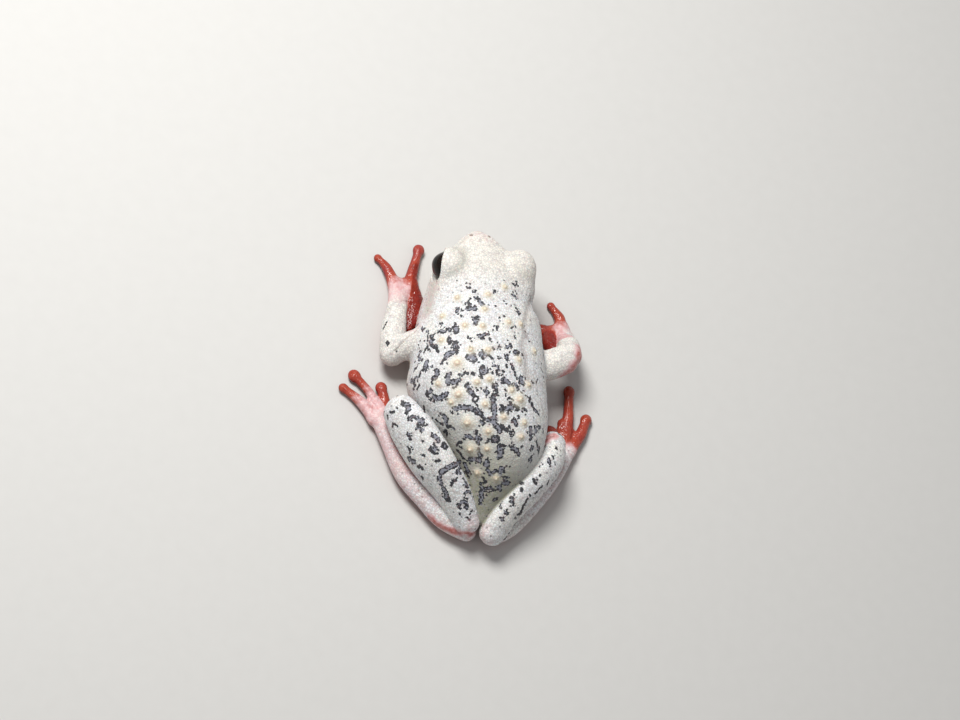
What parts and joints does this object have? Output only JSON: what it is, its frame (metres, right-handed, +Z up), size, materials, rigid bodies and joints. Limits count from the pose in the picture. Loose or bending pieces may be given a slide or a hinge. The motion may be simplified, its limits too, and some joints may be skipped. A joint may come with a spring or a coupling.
{
  "type": "common reed frog",
  "caption": "Still, life-size common reed frog crouched flat with limbs drawn in, pale warty skin with dark marbling, red hands and feet, dark eyes under raised brows.",
  "frame": {"origin": "on the floor, at the middle of the frog's bounding box", "axes": "+X is the frog's right, +Y runs from vent to snout, +Z is up; the floor is z = 0"},
  "size_m": [0.0282, 0.0338, 0.011],
  "materials": {
    "pale_skin": "satin, finely grained skin, cream with charcoal marbling",
    "red_skin": "moist satin skin, red to pink",
    "eye": "wet gloss, nearly black"
  },
  "bodies": {
    "root": {"head": "pale_skin", "torso": "pale_skin", "eye_left": "eye", "eye_right": "eye", "upper_arm_left": "pale_skin", "upper_arm_right": "pale_skin", "forearm_left": "pale_skin", "forearm_right": "pale_skin", "hand_left": "red_skin", "hand_right": "red_skin", "thigh_left": "pale_skin", "thigh_right": "pale_skin", "shank_left": "pale_skin", "shank_right": "pale_skin", "foot_left": "red_skin", "foot_right": "red_skin"}
  },
  "joints": []
}
